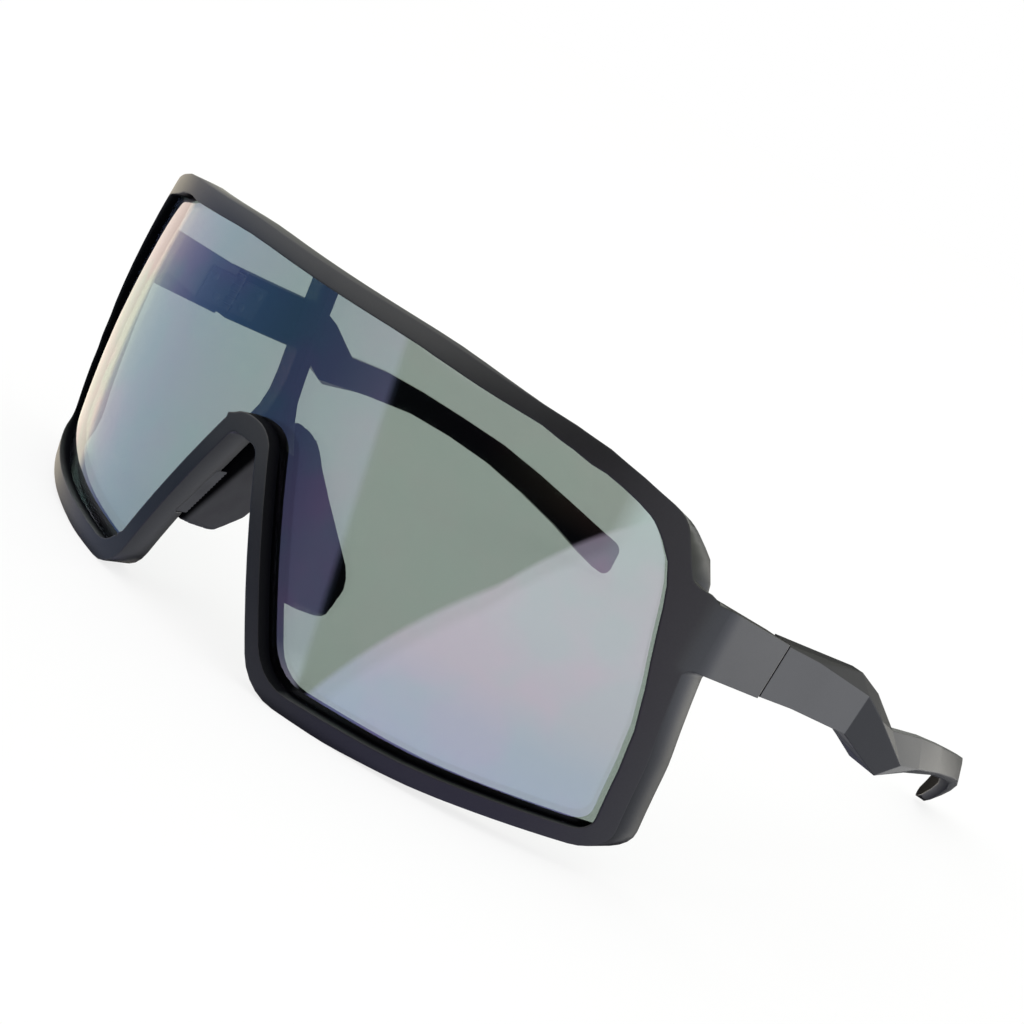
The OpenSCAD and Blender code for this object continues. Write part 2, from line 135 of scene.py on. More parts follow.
# points along a closed outline, no further apart than spacing
def refined(points, spacing):
    out = []
    for i, p in enumerate(points):
        q = points[(i + 1) % len(points)]
        length = (q - p).length
        if length < 1e-4:
            continue
        count = max(1, math.ceil(length / spacing))
        out += [p.lerp(q, k / count) for k in range(count)]
    return out


def nearestOn(p, outline):
    found = []
    for i, a in enumerate(outline):
        along = outline[(i + 1) % len(outline)] - a
        if along.length_squared > 0:
            found.append(a + along * min(1.0, max(0.0, (p - a).dot(along) / along.length_squared)))
    return min(found, key=lambda q: (p - q).length_squared)


def edgeDistance(p, outline):
    return (p - nearestOn(p, outline)).length


def insideOutline(p, outline):
    inside = False
    for i, a in enumerate(outline):
        b = outline[(i + 1) % len(outline)]
        if (a.y > p.y) != (b.y > p.y) and p.x < a.x + (p.y - a.y) / (b.y - a.y) * (b.x - a.x):
            inside = not inside
    return inside


# fills an outline with an even net of triangles
def filledNet(outline, spacing):
    points = list(outline)
    low = [min(p[k] for p in outline) for k in (0, 1)]
    high = [max(p[k] for p in outline) for k in (0, 1)]
    rows = math.ceil((high[1] - low[1]) / (spacing * 0.87))
    for row in range(rows + 1):
        z = low[1] + row * spacing * 0.87
        x = low[0] + (row % 2) * spacing / 2
        while x < high[0]:
            p = Vector((x, z))
            if insideOutline(p, outline) and edgeDistance(p, outline) > spacing * 0.55:
                points.append(p)
            x += spacing
    count = len(outline)
    edges = [(i, (i + 1) % count) for i in range(count)]
    verts, _, faces, *_ = delaunay_2d_cdt(points, edges, [], 1, 1e-6)
    tris = []
    for a, b, c in faces:
        turn = (verts[b] - verts[a]).cross(verts[c] - verts[a])
        tris.append((a, b, c) if turn > 0 else (a, c, b))
    return verts, tris


# a closed shell from one net and its two faces, the first one facing out of the turning sense of the net
def shellMesh(name, near, far, tris, scale=mm):
    count = len(near)
    directed = {(t[i], t[(i + 1) % 3]) for t in tris for i in range(3)}
    rim = [(a, b) for a, b in directed if (b, a) not in directed]
    faces = [tuple(t) for t in tris] + [(a + count, c + count, b + count) for a, b, c in tris]
    faces += [(b, a, a + count, b + count) for a, b in rim]
    mesh = bpy.data.meshes.new(name)
    mesh.from_pydata([tuple(p * scale) for p in list(near) + list(far)], [], faces)
    smooth = [True] * (2 * len(tris)) + [False] * len(rim)
    mesh.polygons.foreach_set("use_smooth", smooth)
    mesh.update()
    return mesh


def addPiece(name, mesh, material, body):
    piece = bpy.data.objects.new(name, mesh)
    bpy.context.scene.collection.objects.link(piece)
    mesh.materials.clear()
    mesh.materials.append(material)
    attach(piece, body)
    return piece


# a socket that can stand in a sum
class Wire:
    def __init__(self, tree, socket):
        self.tree = tree
        self.socket = socket

    def joined(self, other, operation, swapped=False):
        node = self.tree.nodes.new("ShaderNodeMath")
        node.operation = operation
        for slot, item in zip(node.inputs, (other, self) if swapped else (self, other)):
            if isinstance(item, Wire):
                self.tree.links.new(item.socket, slot)
            else:
                slot.default_value = item
        return Wire(self.tree, node.outputs[0])

    def __add__(self, other):
        return self.joined(other, "ADD")

    def __radd__(self, other):
        return self.joined(other, "ADD", True)

    def __sub__(self, other):
        return self.joined(other, "SUBTRACT")

    def __rsub__(self, other):
        return self.joined(other, "SUBTRACT", True)

    def __mul__(self, other):
        return self.joined(other, "MULTIPLY")

    def __rmul__(self, other):
        return self.joined(other, "MULTIPLY", True)

    def __truediv__(self, other):
        return self.joined(other, "DIVIDE")

    def __rtruediv__(self, other):
        return self.joined(other, "DIVIDE", True)

    def __pow__(self, other):
        return self.joined(other, "POWER")


# a node tree for a finish, the world or the floor
class Finish:
    def __init__(self, name, owner=None):
        self.owner = owner or bpy.data.materials.new(name)
        self.owner.use_nodes = True
        self.tree = self.owner.node_tree
        self.tree.nodes.clear()

    def node(self, kind, settings=None, values=None, out=0):
        node = self.tree.nodes.new("ShaderNode" + kind)
        for key, value in (settings or {}).items():
            if key == "stops":
                ramp = node.color_ramp
                while len(ramp.elements) < len(value):
                    ramp.elements.new(0.5)
                for element, (place, colour) in zip(ramp.elements, value):
                    element.position = place
                    element.color = (*colour, 1)
            else:
                setattr(node, key, value)
        for key, value in (values or {}).items():
            slot = next(s for s in node.inputs if key in (s.identifier, s.name) and s.enabled)
            if isinstance(value, Wire):
                self.tree.links.new(value.socket, slot)
            elif slot.type == "RGBA" and len(value) == 3:
                slot.default_value = (*value, 1)
            else:
                slot.default_value = value
        if not len(node.outputs):
            return None
        found = node.outputs[out] if isinstance(out, int) else next(
            s for s in node.outputs if out in (s.identifier, s.name) and s.enabled)
        return Wire(self.tree, found)

    def close(self, surface, kind="OutputMaterial"):
        self.node(kind, None, {"Surface": surface})
        return self.owner

    def noise(self, scale, detail=2.0, roughness=0.5, vector=None):
        values = {"Scale": scale, "Detail": detail, "Roughness": roughness}
        values["Vector"] = vector or self.node("TexCoord", out="Object")
        return self.node("TexNoise", None, values, "Fac")

    def tint(self, dark, light, amount):
        return self.node("Mix", {"data_type": "RGBA"},
                         {"Factor_Float": amount, "A_Color": dark, "B_Color": light}, "Result_Color")

    def clear(self, value, low, high, toLow=0.0, toHigh=1.0):
        return self.node("MapRange", {"clamp": True},
                         {"Value": value, "From Min": low, "From Max": high, "To Min": toLow, "To Max": toHigh})

    # 1 where painted shade goes: on faces marked for it, and deep in a recess by ambient occlusion
    def paintedShade(self, distance, openest=0.72, deepest=0.3):
        mark = self.node("Attribute", {"attribute_name": "inside"}, out="Fac")
        openness = self.node("AmbientOcclusion", {"samples": 6}, {"Distance": distance}, "AO")
        return self.clear(mark + self.clear(openness, openest, deepest), 0.0, 1.0)

    # closes with a surface that turns to a near-black painted shade on marked faces and in recesses
    def closeWithPaintedShade(self, surface, colour, roughness, distance):
        matt = self.node("BsdfPrincipled", None, {"Base Color": colour, "Roughness": roughness, "IOR": 1.03})
        return self.close(self.node("MixShader", None, {
            "Fac": self.paintedShade(distance), "Shader": surface, "Shader_001": matt}))


# sizes are in metres here, colours linear
# besides its own colours, each look holds a near-black painted shade for marked faces and recesses, with its roughness
# and how far it reaches into a recess
nylonLook = {
    "dark": (0.005, 0.0055, 0.006), "light": (0.008, 0.0085, 0.009), "inside": (0.002, 0.002, 0.003),
    "roughness": 0.38, "paintedShadeRoughness": 0.6, "blotches": 60.0, "grain": 0.00012, "grainDepth": 0.000006,
    "edge": 0.00035, "recess": 0.003,
}


def mouldedNylon(name, look=nylonLook):
    finish = Finish(name)
    blotches = finish.noise(look["blotches"], 3.0)
    grain = finish.noise(1 / look["grain"], 2.0)
    fine = finish.noise(0.35 / look["grain"], 1.0)
    colour = finish.tint(look["dark"], look["light"], finish.clear(blotches * 0.6 + fine * 0.4, 0.35, 0.65))
    rough = finish.clear(grain * 0.5 + blotches * 0.5, 0.3, 0.7, look["roughness"] - 0.05, look["roughness"] + 0.07)
    soft = finish.node("Bevel", {"samples": 6}, {"Radius": look["edge"]})
    bump = finish.node("Bump", None, {"Strength": 0.5, "Distance": look["grainDepth"], "Height": grain, "Normal": soft})
    satin = finish.node("BsdfPrincipled", None, {
        "Base Color": colour, "Roughness": rough, "IOR": 1.47, "Normal": bump})
    return finish.closeWithPaintedShade(satin, look["inside"], look["paintedShadeRoughness"], look["recess"])


lensLook = {
    "clear": (0.596, 0.655, 0.616), "violet": (0.98, 0.85, 1.0), "teal": (0.82, 0.93, 0.98),
    "leastMirror": 0.20, "mostMirror": 0.85, "mirrorPower": 4.0, "filmScale": 75.0,
}


def mirrorLens(name, look=lensLook):
    finish = Finish(name)
    facing = finish.node("LayerWeight", None, {"Blend": 0.5}, "Facing")
    film = finish.noise(look["filmScale"], 2.5)
    coat = finish.tint(look["violet"], look["teal"], finish.clear(film, 0.42, 0.58))
    mirror = finish.node("BsdfPrincipled", None, {
        "Base Color": coat, "Metallic": 1.0, "Roughness": finish.clear(film, 0.3, 0.7, 0.015, 0.03)})
    through = finish.node("BsdfTransparent", None, {"Color": look["clear"]})
    amount = look["leastMirror"] + (facing ** look["mirrorPower"]) * (look["mostMirror"] - look["leastMirror"])
    return finish.close(finish.node("MixShader", None, {"Fac": amount, "Shader": through, "Shader_001": mirror}))


# besides its own colours, the look holds a near-black painted shade for marked faces and recesses, with its roughness
# and how far it reaches into a recess
rubberLook = {
    "dark": (0.010, 0.010, 0.011), "light": (0.018, 0.017, 0.019), "inside": (0.001, 0.001, 0.0015),
    "roughness": (0.55, 0.72), "paintedShadeRoughness": 0.7, "haze": 220.0, "grain": 5200.0, "grainDepth": 0.00002,
    "recess": 0.006,
}


def softRubber(name, look=rubberLook):
    finish = Finish(name)
    haze = finish.noise(look["haze"], 4.0)
    grain = finish.noise(look["grain"], 1.0)
    colour = finish.tint(look["dark"], look["light"], finish.clear(haze, 0.35, 0.65))
    bump = finish.node("Bump", None, {"Strength": 0.4, "Distance": look["grainDepth"], "Height": grain})
    rubber = finish.node("BsdfPrincipled", None, {
        "Base Color": colour, "Roughness": finish.clear(haze, 0.3, 0.7, *look["roughness"]), "IOR": 1.45,
        "Normal": bump})
    return finish.closeWithPaintedShade(rubber, look["inside"], look["paintedShadeRoughness"], look["recess"])


# besides its own colours, the look holds a near-black painted shade for marked faces and recesses, with its roughness
# and how far it reaches into a recess
clipLook = {
    "dark": (0.007, 0.007, 0.008), "light": (0.012, 0.012, 0.013), "inside": (0.001, 0.001, 0.0015),
    "roughness": (0.35, 0.5), "paintedShadeRoughness": 0.7, "haze": 300.0, "recess": 0.004,
}


def clipPlastic(name, look=clipLook):
    finish = Finish(name)
    haze = finish.noise(look["haze"], 3.0)
    satin = finish.node("BsdfPrincipled", None, {
        "Base Color": finish.tint(look["dark"], look["light"], haze),
        "Roughness": finish.clear(haze, 0.3, 0.7, *look["roughness"])})
    return finish.closeWithPaintedShade(satin, look["inside"], look["paintedShadeRoughness"], look["recess"])


leafLook = {"dark": (0.010, 0.010, 0.011), "light": (0.020, 0.020, 0.021), "roughness": (0.40, 0.55)}
screwLook = {"dark": (0.016, 0.016, 0.017), "light": (0.032, 0.032, 0.033), "roughness": (0.32, 0.47)}


def turnedSteel(name, look):
    finish = Finish(name)
    place = finish.node("TexCoord", out="Object")
    brushed = finish.node("Mapping", None, {"Vector": place, "Scale": (1.0, 1.0, 14.0)})
    lines = finish.noise(900.0, 2.0, 0.6, brushed)
    colour = finish.tint(look["dark"], look["light"], finish.clear(lines, 0.35, 0.65))
    bump = finish.node("Bump", None, {"Strength": 0.2, "Distance": 0.00001, "Height": lines})
    return finish.close(finish.node("BsdfPrincipled", None, {
        "Base Color": colour, "Metallic": 1.0, "Roughness": finish.clear(lines, 0.3, 0.7, *look["roughness"]),
        "Normal": bump}))


frameNylon = mouldedNylon("frame_nylon")
templeNylon = mouldedNylon("temple_nylon")
lensFilm = mirrorLens("lens_film")
padRubber = softRubber("pad_rubber")
carrierPlastic = clipPlastic("carrier_plastic")
leafSteel = turnedSteel("leaf_steel", leafLook)
screwSteel = turnedSteel("screw_steel", screwLook)


def dress(nodeName, material):
    piece = nodes[nodeName]
    piece.data.materials.clear()
    piece.data.materials.append(material)


for hand in ("right", "left"):
    dress("pad_carrier_" + hand, carrierPlastic)
    for part in ("front_leaf_", "temple_leaf_"):
        dress(part + hand, leafSteel)
    dress("hinge_screw_" + hand, screwSteel)
print("finishes done")

# the moulded parts are copies of the CAD's, with the even shading of a moulding and small changes of shape that
# the photograph shows; pairs are where a change begins and where it is full, in millimetres, and angles in degrees
moulding = {
    "sameSurface": 0.06, "sameWay": 0.85, "sideX": 69.4, "lipDepth": 3.65, "seatDepth": 2.2, "lipWidth": 1.3,
    "cutsAcross": (31.0, 32.0, 33.0, 34.0, 35.0), "cutsUpright": (66.8, 67.5, 68.2, 68.8),
    # the rim's top wall, and the edge of the opening that the lens is seen through
    "topTaper": 0.55, "cornerTaper": 1.6, "taperSpan": (10.0, 62.0), "taperFrom": 48.0, "taperTo": 55.0,
    "topDrop": 0.55, "dropFrom": 40.0, "dropFade": (22.0, 44.0),
    "topRise": 0.3, "riseSpan": (30.0, 46.0), "riseFade": (53.0, 57.5),
    "openCorner": (59.3, 51.2), "cornerReach": 4.0, "cornerShift": 0.75, "cornerWay": (-0.75, -0.66),
    "lipReach": 0.45, "reachFade": (40.0, 48.0),
    # the strut behind the lens, and the spur above each end piece
    "strutLean": 4.3, "strutHalf": 2.3, "strutReach": 16.0, "footSqueeze": 0.75, "squeezeTo": 38.0,
    "squeezeFade": (39.0, 49.0), "spurX": 64.2, "spurY": (29.5, 32.0), "spurZ": (44.9, 48.0), "spurCut": 0.96,
    # the shading of the front
    "wallAngle": 26.0, "wallLean": 16.0, "topLean": 0.45, "leanHalf": 60.0, "crown": 0.16, "archCrown": 0.18,
    "faceSoft": 66.6, "sideSoft": (29.5, 35.0), "endSoftness": 0.5, "creaseLow": 33.5, "creaseHigh": 46.5,
    "creaseWidth": 1.5,
    # the temples
    "zigzag": (78.0, 92.0), "zigzagEnd": 98.0, "zigzagNormal": (0.85, -0.40, -0.34),
    "templeAngle": 17.0, "facetAngle": 2.5, "tipFrom": 103.5, "tipAngle": 24.0, "tipRound": 1.3,
    "capTurn": 0.8, "capFrom": 160, "endRadius": 2.2, "endSteps": 4,
    # how much painted shade each part gets, from 0 to 1
    "legShade": 0.9, "lipShade": 0.2, "lipFade": 1.9, "endTopShade": 0.7, "flankShade": 0.5, "flankFade": (10.0, 40.0),
    "innerShade": 1.0, "topShade": 0.8, "slopeShade": 0.5, "topShadeEnd": 88.0,
}


def stepped(low, high, value):
    t = min(1.0, max(0.0, (value - low) / (high - low)))
    return t * t * (3 - 2 * t)


# cuts along a plane, in the mesh's own order, so that each run gives the same mesh
def cutAlong(work, place, normal):
    geometry = list(work.verts) + list(work.edges) + list(work.faces)
    bmesh.ops.bisect_plane(work, geom=geometry, dist=1e-7, plane_co=place, plane_no=normal)


def mergedCopy(nodeName, cuts=()):
    work = bmesh.new()
    work.from_mesh(nodes[nodeName].data)
    bmesh.ops.remove_doubles(work, verts=work.verts, dist=2e-6)
    for place, normal in cuts:
        cutAlong(work, place, normal)
    bmesh.ops.triangulate(work, faces=[f for f in work.faces if len(f.verts) > 3])
    mesh = bpy.data.meshes.new(nodeName + "_moulded")
    work.to_mesh(mesh)
    work.free()
    return mesh


# which of the front's surfaces a face lies on, and the surface's own normal there
def surfaceOf(points, normal, shape=moulding):
    for setback, way in ((0.0, 1), (front["depth"], -1)):
        found = [frontPoint(p.x, p.z, 0.0, setback) for p in points]
        if all(abs(p.y - q.y) < shape["sameSurface"] for p, (q, _) in zip(points, found)):
            if normal.dot(found[0][1]) * way > shape["sameWay"]:
                return ("face" if way > 0 else "back"), [n * way for _, n in found]
    return "wall", None


def frontNormals(mesh, shape=moulding):
    points = [v.co / mm for v in mesh.vertices]
    kinds, normals, around = [], [], [[] for _ in points]
    for face in mesh.polygons:
        corners = [points[i] for i in face.vertices]
        kind, own = surfaceOf(corners, face.normal)
        if kind == "wall" and all(abs(abs(p.x) - shape["sideX"]) < 0.01 for p in corners):
            kind = "side"
        kinds.append(kind)
        normals.append(own)
        for i in face.vertices:
            around[i].append(face.index)
    out = []
    limit = math.cos(math.radians(shape["wallAngle"]))
    lean = math.tan(math.radians(shape["wallLean"]))
    for face in mesh.polygons:
        kind = kinds[face.index]
        for k, i in enumerate(face.vertices):
            p = points[i]
            hand = math.copysign(1, p.x)
            outward = Vector((hand, 0, 0))
            inEnd = stepped(shape["creaseLow"], shape["creaseLow"] + shape["creaseWidth"], p.z)
            inEnd *= 1 - stepped(shape["creaseHigh"] - shape["creaseWidth"], shape["creaseHigh"], p.z)
            if kind in ("face", "back"):
                n = normals[face.index][k]
                if kind == "face":
                    soft = inEnd * stepped(shape["faceSoft"], shape["sideX"], abs(p.x))
                    n = n.lerp(outward, shape["endSoftness"] * soft)
                    n.z += shape["crown"] * stepped(openHeight, front["height"], p.z)
                    onArch = stepped(8.0, 32.0, p.z) * (1 - stepped(12.0, 20.0, abs(p.x))) * (p.z < openRise + 2)
                    n.z += shape["archCrown"] * onArch
            elif kind == "side":
                local = p.y + middleY
                turn = 1 - stepped(*shape["sideSoft"], local)
                n = outward.lerp(frontPoint(shape["sideX"] * hand, p.z)[1], shape["endSoftness"] * turn)
            else:
                near = [mesh.polygons[j] for j in around[i] if kinds[j] == "wall"]
                n = Vector()
                for other in near:
                    if other.normal.dot(face.normal) > limit:
                        n += other.normal * other.area ** 0.5
                n.normalize()
                ahead = frontPoint(p.x, p.z)[0].y if abs(p.x) < shape["sideX"] else p.y
                if abs(n.y) < 0.3 and p.y - ahead < front["depth"] + 0.1 and abs(p.x) < shape["sideX"] - 0.02:
                    n.y += lean * (2 * (p.y - ahead) / front["depth"] - 1)
                if n.z > 0.3 and p.z > openRise and abs(p.x) < shape["leanHalf"]:
                    n = n.lerp(frontPoint(p.x, p.z)[1], shape["topLean"])
            out.append(n.normalized())
    return out


# a painted-shade mark at each face corner that the finishes read: 1 where the piece is painted fully dark
def markPaintedShade(mesh, marks):
    found = mesh.attributes.new("inside", "FLOAT", "CORNER")
    found.data.foreach_set("value", marks)


# the way into an outline from a point on it
def inwardAt(p, outline, step=0.3):
    ways = [Vector((math.cos(a), math.sin(a))) for a in (i * math.pi / 12 for i in range(24))]
    free = [way for way in ways if insideOutline(p + way * step, outline)]
    return sum(free, Vector((0, 0))).normalized() if free else Vector((0, 0))


# the opening's top edge hangs a little lower in the middle and higher at the right, where its corner is rounder
def openingShift(p, shape=moulding):
    drop = shape["topDrop"] * stepped(shape["dropFrom"], front["height"], p.y) * (1 - stepped(*shape["dropFade"], p.x))
    rise = shape["topRise"] * stepped(*shape["riseSpan"], p.x) * (1 - stepped(*shape["riseFade"], p.x))
    near = 1 - stepped(0.0, shape["cornerReach"], (p - Vector(shape["openCorner"])).length)
    return Vector((0, rise - drop)) + Vector(shape["cornerWay"]) * shape["cornerShift"] * near


# the rim's top slopes down towards the back, the opening's edge shifts at the top and reaches in at the left,
# the spur above each end piece is cut down, and the strut behind the lens leans and keeps a narrow foot
def softenedFront(mesh, shape=moulding):
    hole = rounded(mirrored(openHalfCorners))
    for v in mesh.vertices:
        p = v.co / mm
        local = p.y + middleY
        flat = Vector((p.x, p.z))
        depth = p.y - frontPoint(p.x, p.z)[0].y
        moved = flat.copy()
        if p.z > shape["taperFrom"] and abs(p.x) < shape["sideX"] - 1:
            upper = stepped(shape["taperFrom"], shape["taperTo"], p.z)
            near = nearestOn(flat, hole)
            distance = (flat - near).length
            if abs(depth - front["depth"]) < shape["sameSurface"] and distance > 0.01:
                side = stepped(*shape["taperSpan"], p.x)
                taper = shape["topTaper"] + (shape["cornerTaper"] - shape["topTaper"]) * side
                moved -= (flat - near) / distance * taper * min(1.0, distance / front["topRim"]) * upper
            if distance < 0.02 and depth < shape["lipDepth"]:
                moved += openingShift(flat)
        elif p.z > shape["dropFrom"] and depth < shape["lipDepth"] and p.x > 0 and edgeDistance(flat, hole) < 0.02:
            moved += openingShift(flat)
        elif depth < 0.1 and p.x < -openTopX and edgeDistance(flat, hole) < 0.02:
            moved += inwardAt(flat, hole) * shape["lipReach"] * (1 - stepped(*shape["reachFade"], p.z))
        elif (abs(p.x) > shape["spurX"] and shape["spurY"][0] < local < shape["spurY"][1]
              and shape["spurZ"][0] < p.z < shape["spurZ"][1]):
            share = stepped(shape["spurX"], shape["spurX"] + 0.5, abs(p.x))
            v.co.z -= (p.z - shape["spurZ"][0]) * shape["spurCut"] * share * mm
            continue
        if depth > shape["lipDepth"] and openRise < p.z < front["height"] and abs(p.x) < shape["strutReach"]:
            if p.x > 0:
                squeeze = shape["footSqueeze"] * stepped(openRise, shape["squeezeTo"], p.z)
                squeeze *= 1 - stepped(*shape["squeezeFade"], p.z)
                excess = max(0.0, p.x - shape["strutHalf"])
                moved.x -= excess * squeeze * (1 - stepped(8.0, shape["strutReach"], p.x))
            lean = min(1.0, (p.z - openRise) / (openRise * 0.6))
            moved.x -= shape["strutLean"] * lean * (1 - stepped(5.0, shape["strutReach"], abs(p.x)))
        if (moved - flat).length > 1e-6:
            place = frontPoint(moved.x, moved.y)[0]
            v.co = Vector((moved.x, place.y + depth, moved.y)) * mm


# painted shade on the front: the lip walls round the opening, darker deeper in and almost black on the nose arch's
# legs; the strut behind the lens; the tops of the end pieces; and the outer flanks, darker towards the bottom
def lipShadeMarks(mesh, shape=moulding):
    hole = rounded(mirrored(openHalfCorners))
    marks = []
    for face in mesh.polygons:
        corners = [mesh.vertices[i].co / mm for i in face.vertices]
        kind, _ = surfaceOf(corners, face.normal)
        flat = [Vector((p.x, p.z)) for p in corners]
        deep = all(p.y - frontPoint(p.x, p.z)[0].y > shape["seatDepth"] for p in corners)
        lip = kind == "wall" and all(edgeDistance(q, hole) < shape["lipWidth"] for q in flat)
        strut = deep and kind != "back" and all(insideOutline(q, hole) for q in flat)
        outside = kind == "wall" and abs(face.normal.x) > 0.5
        outside = outside and all(abs(p.x) > 50 and p.x * face.normal.x > 0 for p in corners)
        endTop = face.normal.z > 0.5 and all(p.y + middleY > 31 and p.z < shape["creaseHigh"] for p in corners)
        for p in corners:
            depth = p.y - frontPoint(p.x, p.z)[0].y
            onLeg = abs(p.x) < 24 and p.z < openRise + 3
            deeper = shape["lipShade"] + (1 - shape["lipShade"]) * stepped(0.0, shape["lipFade"], depth)
            shade = shape["legShade"] if onLeg else deeper
            flank = shape["flankShade"] * (1 - stepped(*shape["flankFade"], p.z)) if outside else 0.0
            marks.append(shade if lip else shape["innerShade"] if strut else shape["endTopShade"] if endTop else flank)
    return marks


def mouldedFront(shape=moulding):
    cuts = [((0, (y - middleY) * mm, 0), (0, 1, 0)) for y in shape["cutsAcross"]]
    cuts += [((x * side * mm, 0, 0), (1, 0, 0)) for side in (1, -1) for x in shape["cutsUpright"]]
    mesh = mergedCopy("front_frame", cuts)
    mesh.polygons.foreach_set("use_smooth", [True] * len(mesh.polygons))
    softenedFront(mesh)
    mesh.update()
    markPaintedShade(mesh, lipShadeMarks(mesh))
    mesh.normals_split_custom_set(frontNormals(mesh))
    return mesh


# rounds the temple's end, seen from the side; gives the end's way and how far the temple keeps its full height
def roundEnd(work, shape=moulding):
    caps = [f for f in work.faces if f.normal.y > shape["capTurn"]
            and f.calc_center_median().y / mm + middleY > shape["capFrom"]]
    along = sum((f.normal * f.calc_area() for f in caps), Vector()).normalized()
    upward = (Vector((0, 0, 1)) - along * along.z).normalized()
    radius = shape["endRadius"] * mm
    flat = {v for f in caps for v in f.verts}
    end = min(v.co.dot(along) for v in flat)
    for v in flat:
        v.co += along * (end - v.co.dot(along))
    for step in range(1, shape["endSteps"] + 1):
        share = 1 - math.cos(math.radians(90 / shape["endSteps"] * step))
        cutAlong(work, along * (end - radius * share), along)
    last = [v for v in work.verts if end - v.co.dot(along) < radius * 1.01]
    heights = [v.co.dot(upward) for v in last]
    middle, half = (max(heights) + min(heights)) / 2, (max(heights) - min(heights)) / 2
    for v in last:
        back = radius - (end - v.co.dot(along))
        lost = radius - math.sqrt(max(0.0, radius * radius - back * back))
        v.co -= upward * (v.co.dot(upward) - middle) * lost / half
    return along, end - radius * 0.99


# a bevel keeps no order of its own, so the parts of the mesh are put in the order of their places
def putInOrder(work):
    for row in (work.verts, work.edges, work.faces):
        ordered = sorted(row, key=lambda part: sorted(tuple(v.co) for v in getattr(part, "verts", [part])))
        ranks = {part: rank for rank, part in enumerate(ordered)}
        row.sort(key=ranks.get)


def mouldedTemple(hand, shape=moulding):
    mesh = mergedCopy("temple_" + hand)
    work = bmesh.new()
    work.from_mesh(mesh)
    along, reach = roundEnd(work)
    tip = [v for v in work.verts if v.co.y / mm + middleY > shape["tipFrom"]]
    among = [e for e in work.edges if all(v in tip for v in e.verts)]
    bmesh.ops.dissolve_limit(work, angle_limit=math.radians(1.0), verts=tip, edges=among)
    sharp = [e for e in work.edges if len(e.link_faces) == 2 and e.calc_face_angle(0) > math.radians(shape["tipAngle"])
             and all(v.co.y / mm + middleY > shape["tipFrom"] and v.co.dot(along) < reach for v in e.verts)]
    bmesh.ops.bevel(work, geom=sharp, offset=shape["tipRound"] * mm, segments=3, profile=0.5, affect="EDGES",
                    clamp_overlap=True)
    bmesh.ops.remove_doubles(work, verts=work.verts, dist=5e-6)
    bmesh.ops.dissolve_degenerate(work, edges=work.edges, dist=5e-6)
    bmesh.ops.triangulate(work, faces=[f for f in work.faces if len(f.verts) > 3])
    putInOrder(work)
    for face in work.faces:
        face.smooth = True
    for edge in work.edges:
        behind = min(v.co.y / mm + middleY for v in edge.verts) > shape["zigzagEnd"]
        most = shape["templeAngle"] if behind else shape["facetAngle"]
        edge.smooth = len(edge.link_faces) == 2 and edge.calc_face_angle(0) < math.radians(most)
    work.to_mesh(mesh)
    work.free()
    side = 1 if hand == "right" else -1
    normals = [Vector(n.vector) for n in mesh.corner_normals]
    # painted shade: the temple's inner side dark, and its top faces near the hinge darker
    marks = []
    for face in mesh.polygons:
        local = face.center.y / mm + middleY
        outward = face.normal.x * side
        mark = 0.0
        if outward < -0.6:
            mark = shape["innerShade"]
        elif face.normal.z > 0.3 and local < shape["topShadeEnd"]:
            mark = shape["topShade"] if face.normal.z > 0.9 else shape["slopeShade"]
        marks += [mark] * len(face.vertices)
        if outward > 0.97 and shape["zigzag"][0] < local < shape["zigzag"][1]:
            x, y, z = shape["zigzagNormal"]
            for loop in face.loop_indices:
                normals[loop] = Vector((x * side, y, z)).normalized()
    markPaintedShade(mesh, marks)
    mesh.normals_split_custom_set(normals)
    return mesh


shell = addPiece("moulded_front", mouldedFront(), frameNylon, "front")
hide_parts("front_frame")
for hand in ("right", "left"):
    arm = addPiece("moulded_temple_" + hand, mouldedTemple(hand), templeNylon, hand + "_side")
    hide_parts("temple_" + hand)
print("mouldings done")

# the lens: one dense sheet bent to the front's curve
lensShape = {"thickness": 1.3, "setback": 2.3, "seat": 1.15, "spacing": 1.3}


def shieldLens(shape=lensShape):
    outline = refined(rounded(grownCorners(mirrored(openHalfCorners), shape["seat"])), shape["spacing"])
    outline.reverse()
    net, tris = filledNet(outline, shape["spacing"])
    places = [frontPoint(p.x, p.y, 0.0, shape["setback"]) for p in net]
    near = [place for place, _ in places]
    far = [place - normal * shape["thickness"] for place, normal in places]
    mesh = shellMesh("lens_sheet", near, far, tris)
    count = len(net)
    normals = []
    for face in mesh.polygons:
        for i in face.vertices:
            own = places[i % count][1] * (1 if i < count else -1)
            normals.append(own if face.index < 2 * len(tris) else face.normal.copy())
    mesh.normals_split_custom_set(normals)
    return mesh


lens = addPiece("lens_sheet", shieldLens(), lensFilm, "front")
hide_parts("shield_lens")
print("lens done")

# rivets: domed heads on shanks, one at each of the CAD's rivets, set out by Geometry Nodes
rivetShape = {"Head Radius": 1.62, "Head Height": 0.48, "Shank Radius": 0.94}


